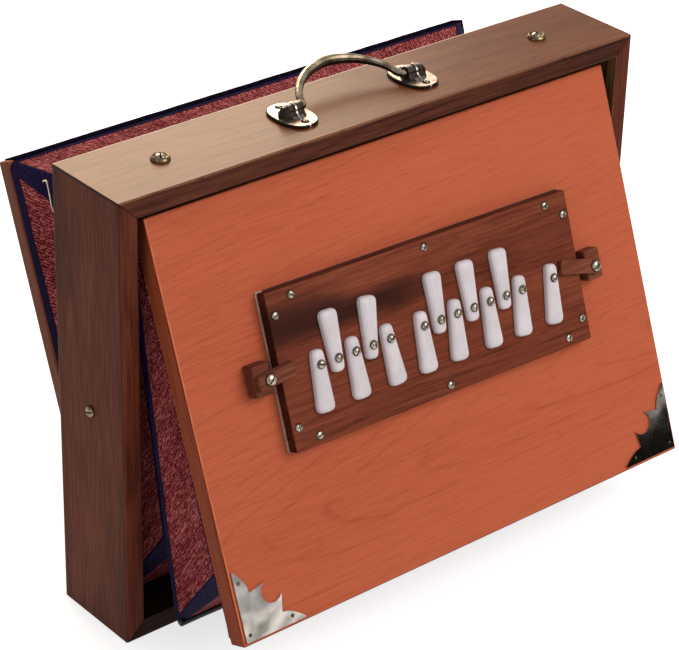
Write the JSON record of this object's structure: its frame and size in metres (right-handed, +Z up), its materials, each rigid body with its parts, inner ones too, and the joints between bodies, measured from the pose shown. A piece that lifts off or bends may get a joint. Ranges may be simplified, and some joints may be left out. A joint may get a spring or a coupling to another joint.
{
  "type": "shruti box",
  "caption": "Wooden drone box with folded bellows on both sides, a row of pivoting keys on a hinged front board, turn buttons and a brass carrying handle.",
  "frame": {"origin": "middle of the frame's underside, halfway between its sides and halfway through its depth", "axes": "+Z up, +X to the instrument's right seen from the front, -Y to the front, where the keys are"},
  "size_m": [0.4044, 0.2396, 0.3168],
  "materials": {
    "walnut": "satin",
    "cherry_wood": "satin",
    "brown_wood": "satin",
    "plain_wood": "matte",
    "felt": "matte",
    "ivory_plastic": "glossy",
    "steel": "satin",
    "chrome_plate": "polished",
    "antique_brass": "satin",
    "maroon_cloth": "satin",
    "leather": "matte"
  },
  "bodies": {
    "frame": {"frame_top": "walnut", "frame_bottom": "walnut", "frame_left": "walnut", "frame_right": "walnut", "partition_board": "plain_wood", "front_hinge_batten": "plain_wood", "rear_hinge_batten": "plain_wood", "top_screw_left": "steel", "top_screw_right": "steel", "side_screw_left": "steel", "side_screw_right": "steel", "handle_plate_left": "antique_brass", "handle_plate_right": "antique_brass", "front_bellows": "maroon_cloth", "rear_bellows": "maroon_cloth", "front_spring": "steel", "rear_spring": "steel"},
    "front": {"front_board": "cherry_wood", "panel_gasket": "felt", "key_panel": "brown_wood", "reed_block": "plain_wood", "key_screw_01": "steel", "key_screw_02": "steel", "key_screw_03": "steel", "key_screw_04": "steel", "key_screw_05": "steel", "key_screw_06": "steel", "key_screw_07": "steel", "key_screw_08": "steel", "key_screw_09": "steel", "key_screw_10": "steel", "key_screw_11": "steel", "key_screw_12": "steel", "key_screw_13": "steel", "turn_block_left": "brown_wood", "turn_block_right": "brown_wood", "turn_screw_left": "steel", "turn_screw_right": "steel", "corner_plate_left": "chrome_plate", "corner_plate_right": "chrome_plate"},
    "rear": {"rear_board": "cherry_wood"},
    "bail": {"handle_bail": "antique_brass"},
    "partition_flap": {"partition_valve_flap": "leather"},
    "intake_flap": {"intake_valve_flap": "leather"},
    "button_left": {"turn_button_left": "brown_wood"},
    "button_right": {"turn_button_right": "brown_wood"},
    "key_01": {"key_01": "ivory_plastic"},
    "key_02": {"key_02": "ivory_plastic"},
    "key_03": {"key_03": "ivory_plastic"},
    "key_04": {"key_04": "ivory_plastic"},
    "key_05": {"key_05": "ivory_plastic"},
    "key_06": {"key_06": "ivory_plastic"},
    "key_07": {"key_07": "ivory_plastic"},
    "key_08": {"key_08": "ivory_plastic"},
    "key_09": {"key_09": "ivory_plastic"},
    "key_10": {"key_10": "ivory_plastic"},
    "key_11": {"key_11": "ivory_plastic"},
    "key_12": {"key_12": "ivory_plastic"},
    "key_13": {"key_13": "ivory_plastic"}
  },
  "joints": [
    {"name": "front_board_hinge", "type": "hinge", "parent": "frame", "child": "front", "pos_m": [0, -0.015, 0.276], "axis": [-1, 0, 0], "range_deg": [-21.4, 0], "stiffness_Nm_per_rad": 2, "springref_deg": 31.51, "deforming": ["front_bellows", "front_spring"]},
    {"name": "rear_board_hinge", "type": "hinge", "parent": "frame", "child": "rear", "pos_m": [0, 0.015, 0.022], "axis": [-1, 0, 0], "range_deg": [-20.9, 0], "deforming": ["rear_bellows", "rear_spring"]},
    {"name": "handle_hinge", "type": "hinge", "parent": "frame", "child": "bail", "pos_m": [-0.0047, -0.001, 0.3035], "axis": [1, 0, 0], "range_deg": [-24, 160]},
    {"name": "partition_flap_hinge", "type": "hinge", "parent": "frame", "child": "partition_flap", "pos_m": [0, -0.0043, 0.164], "axis": [-1, 0, 0], "range_deg": [0, 12]},
    {"name": "intake_flap_hinge", "type": "hinge", "parent": "rear", "child": "intake_flap", "pos_m": [0, 0.06636, 0.15733], "axis": [-1, 0, 0], "range_deg": [0, 12]},
    {"name": "button_left_pivot", "type": "hinge", "parent": "front", "child": "button_left", "pos_m": [-0.129, -0.07686, 0.18145], "axis": [0, 0.9311, -0.3649], "range_deg": [-90, 0]},
    {"name": "button_right_pivot", "type": "hinge", "parent": "front", "child": "button_right", "pos_m": [0.1306, -0.07993, 0.17363], "axis": [0, 0.9311, -0.3649], "range_deg": [0, 90]},
    {"name": "key_01_pivot", "type": "hinge", "parent": "front", "child": "key_01", "pos_m": [-0.09256, -0.07741, 0.17923], "axis": [0, 0.9311, -0.3649], "range_deg": [-5.8, 18.2]},
    {"name": "key_02_pivot", "type": "hinge", "parent": "front", "child": "key_02", "pos_m": [-0.07921, -0.0775, 0.17901], "axis": [0, 0.9311, -0.3649], "range_deg": [-4.4, 19.6]},
    {"name": "key_03_pivot", "type": "hinge", "parent": "front", "child": "key_03", "pos_m": [-0.06587, -0.07758, 0.17879], "axis": [0, 0.9311, -0.3649], "range_deg": [-3.5, 20.5]},
    {"name": "key_04_pivot", "type": "hinge", "parent": "front", "child": "key_04", "pos_m": [-0.05252, -0.07767, 0.17858], "axis": [0, 0.9311, -0.3649], "range_deg": [-11.5, 12.5]},
    {"name": "key_05_pivot", "type": "hinge", "parent": "front", "child": "key_05", "pos_m": [-0.03917, -0.07775, 0.17836], "axis": [0, 0.9311, -0.3649], "range_deg": [-0.5, 23.5]},
    {"name": "key_06_pivot", "type": "hinge", "parent": "front", "child": "key_06", "pos_m": [-0.01247, -0.07792, 0.17793], "axis": [0, 0.9311, -0.3649], "range_deg": [-5, 19]},
    {"name": "key_07_pivot", "type": "hinge", "parent": "front", "child": "key_07", "pos_m": [0.00087, -0.07801, 0.17771], "axis": [0, 0.9311, -0.3649], "range_deg": [-6.6, 17.4]},
    {"name": "key_08_pivot", "type": "hinge", "parent": "front", "child": "key_08", "pos_m": [0.01422, -0.07809, 0.17749], "axis": [0, 0.9311, -0.3649], "range_deg": [-9, 15]},
    {"name": "key_09_pivot", "type": "hinge", "parent": "front", "child": "key_09", "pos_m": [0.02757, -0.07818, 0.17727], "axis": [0, 0.9311, -0.3649], "range_deg": [-5.5, 18.5]},
    {"name": "key_10_pivot", "type": "hinge", "parent": "front", "child": "key_10", "pos_m": [0.04092, -0.07826, 0.17706], "axis": [0, 0.9311, -0.3649], "range_deg": [-5.3, 18.7]},
    {"name": "key_11_pivot", "type": "hinge", "parent": "front", "child": "key_11", "pos_m": [0.05427, -0.07835, 0.17684], "axis": [0, 0.9311, -0.3649], "range_deg": [-6.7, 17.3]},
    {"name": "key_12_pivot", "type": "hinge", "parent": "front", "child": "key_12", "pos_m": [0.06761, -0.07843, 0.17662], "axis": [0, 0.9311, -0.3649], "range_deg": [-9.5, 14.5]},
    {"name": "key_13_pivot", "type": "hinge", "parent": "front", "child": "key_13", "pos_m": [0.09431, -0.0786, 0.17619], "axis": [0, 0.9311, -0.3649], "range_deg": [-10.4, 13.6]}
  ]
}
